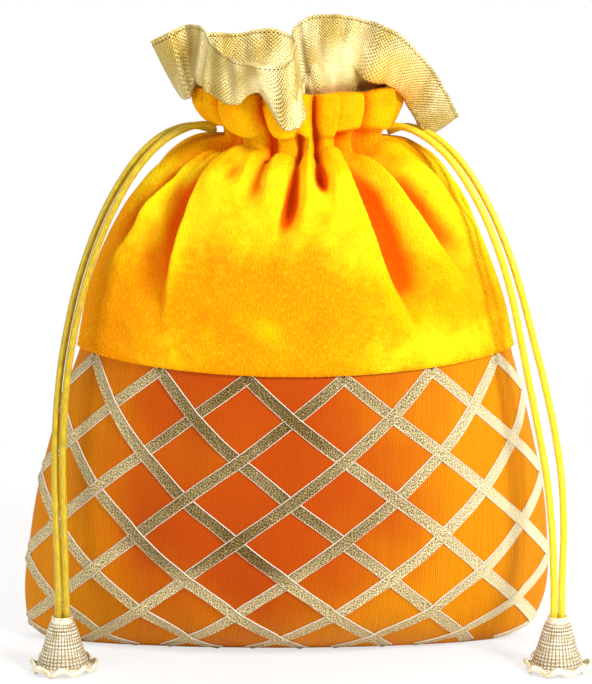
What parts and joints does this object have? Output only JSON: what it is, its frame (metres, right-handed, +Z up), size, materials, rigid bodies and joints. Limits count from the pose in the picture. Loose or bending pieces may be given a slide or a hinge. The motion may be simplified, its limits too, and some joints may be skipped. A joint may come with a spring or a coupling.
{
  "type": "potli bag",
  "caption": "Gathered drawstring pouch with a latticed silk lower half, a velvet neck, a gold tissue frill, and cord ends finished with woven cones.",
  "frame": {"origin": "on the floor, under the middle of the bag's bounding box without its cords", "axes": "+Z up, the front faces -Y, and +X is to the right of someone who looks at the front"},
  "size_m": [0.2248, 0.1002, 0.2556],
  "materials": {
    "orange_silk": "ribbed silk with a soft sheen",
    "gold_lace_tape": "metallic woven lace tape with pale selvedges",
    "yellow_velvet": "short-pile velvet",
    "gold_tissue": "metallic gold tissue",
    "yellow_satin_cord": "satin rat-tail cord",
    "woven_gold_thread": "woven metallic thread"
  },
  "bodies": {
    "root": {"lower_front_panel": "orange_silk", "lower_back_panel": "orange_silk", "front_rising_tape_1": "gold_lace_tape", "front_rising_tape_2": "gold_lace_tape", "front_rising_tape_3": "gold_lace_tape", "front_rising_tape_4": "gold_lace_tape", "front_rising_tape_5": "gold_lace_tape", "front_rising_tape_6": "gold_lace_tape", "front_rising_tape_7": "gold_lace_tape", "front_rising_tape_8": "gold_lace_tape", "front_rising_tape_9": "gold_lace_tape", "front_rising_tape_10": "gold_lace_tape", "front_falling_tape_1": "gold_lace_tape", "front_falling_tape_2": "gold_lace_tape", "front_falling_tape_3": "gold_lace_tape", "front_falling_tape_4": "gold_lace_tape", "front_falling_tape_5": "gold_lace_tape", "front_falling_tape_6": "gold_lace_tape", "front_falling_tape_7": "gold_lace_tape", "front_falling_tape_8": "gold_lace_tape", "front_falling_tape_9": "gold_lace_tape", "front_falling_tape_10": "gold_lace_tape", "back_rising_tape_1": "gold_lace_tape", "back_rising_tape_2": "gold_lace_tape", "back_rising_tape_3": "gold_lace_tape", "back_rising_tape_4": "gold_lace_tape", "back_rising_tape_5": "gold_lace_tape", "back_rising_tape_6": "gold_lace_tape", "back_rising_tape_7": "gold_lace_tape", "back_rising_tape_8": "gold_lace_tape", "back_rising_tape_9": "gold_lace_tape", "back_rising_tape_10": "gold_lace_tape", "back_falling_tape_1": "gold_lace_tape", "back_falling_tape_2": "gold_lace_tape", "back_falling_tape_3": "gold_lace_tape", "back_falling_tape_4": "gold_lace_tape", "back_falling_tape_5": "gold_lace_tape", "back_falling_tape_6": "gold_lace_tape", "back_falling_tape_7": "gold_lace_tape", "back_falling_tape_8": "gold_lace_tape", "back_falling_tape_9": "gold_lace_tape", "back_falling_tape_10": "gold_lace_tape", "velvet_front_panel": "yellow_velvet", "velvet_back_panel": "yellow_velvet", "gold_frill_front": "gold_tissue", "gold_frill_back": "gold_tissue", "left_cord_casing_run": "yellow_satin_cord", "right_cord_casing_run": "yellow_satin_cord", "left_cord_front_strand": "yellow_satin_cord", "left_cord_back_strand": "yellow_satin_cord", "right_cord_inner_strand": "yellow_satin_cord", "right_cord_outer_strand": "yellow_satin_cord", "left_cord_knot": "yellow_satin_cord", "right_cord_knot": "yellow_satin_cord", "left_woven_cone": "woven_gold_thread", "right_woven_cone": "woven_gold_thread"}
  },
  "joints": []
}
